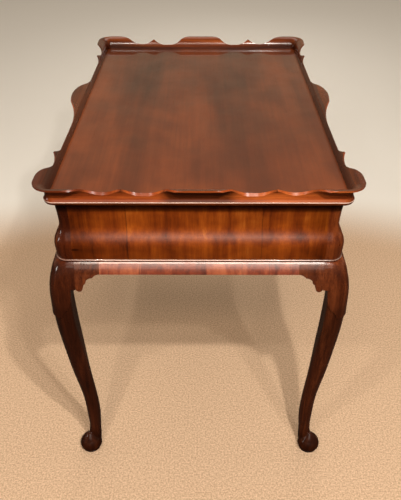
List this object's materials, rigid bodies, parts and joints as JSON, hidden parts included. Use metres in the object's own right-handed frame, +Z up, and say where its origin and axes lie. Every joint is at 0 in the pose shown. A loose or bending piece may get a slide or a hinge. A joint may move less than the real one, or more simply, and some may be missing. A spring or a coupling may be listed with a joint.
{
  "type": "tray top tea table",
  "caption": "Rectangular tray top tea table with a scalloped flaring gallery, an ogee veneered frieze and cabriole legs on pad feet.",
  "frame": {"origin": "on the floor under the middle of the table", "axes": "+X across the short ends to the right, +Y along the table away from the front end, +Z up"},
  "size_m": [0.569, 0.851, 0.715],
  "materials": {
    "tray_mahogany": "polished",
    "gallery_mahogany": "polished",
    "frieze_veneer": "polished",
    "rail_crossbanding": "polished",
    "leg_mahogany": "polished",
    "secondary_pine": "sawn and planed, unfinished",
    "screw_steel": "dull"
  },
  "bodies": {
    "root": {"bead_front": "gallery_mahogany", "bead_left": "gallery_mahogany", "bead_rear": "gallery_mahogany", "bead_right": "gallery_mahogany", "board_screws": "screw_steel", "corner_glue_blocks": "secondary_pine", "cross_bearer_front": "secondary_pine", "cross_bearer_rear": "secondary_pine", "frieze_core_front": "secondary_pine", "frieze_core_left": "secondary_pine", "frieze_core_rear": "secondary_pine", "frieze_core_right": "secondary_pine", "frieze_veneer_front": "frieze_veneer", "frieze_veneer_left": "frieze_veneer", "frieze_veneer_rear": "frieze_veneer", "frieze_veneer_right": "frieze_veneer", "gallery_front": "gallery_mahogany", "gallery_left": "gallery_mahogany", "gallery_rear": "gallery_mahogany", "gallery_right": "gallery_mahogany", "knee_bracket_front_left_end": "leg_mahogany", "knee_bracket_front_left_side": "leg_mahogany", "knee_bracket_front_right_end": "leg_mahogany", "knee_bracket_front_right_side": "leg_mahogany", "knee_bracket_rear_left_end": "leg_mahogany", "knee_bracket_rear_left_side": "leg_mahogany", "knee_bracket_rear_right_end": "leg_mahogany", "knee_bracket_rear_right_side": "leg_mahogany", "leg_front_left": "leg_mahogany", "leg_front_right": "leg_mahogany", "leg_rear_left": "leg_mahogany", "leg_rear_right": "leg_mahogany", "rail_core_front": "secondary_pine", "rail_core_left": "secondary_pine", "rail_core_rear": "secondary_pine", "rail_core_right": "secondary_pine", "rail_moulding_front": "rail_crossbanding", "rail_moulding_left": "rail_crossbanding", "rail_moulding_rear": "rail_crossbanding", "rail_moulding_right": "rail_crossbanding", "top_glue_blocks": "secondary_pine", "tray_board": "tray_mahogany"}
  },
  "joints": []
}
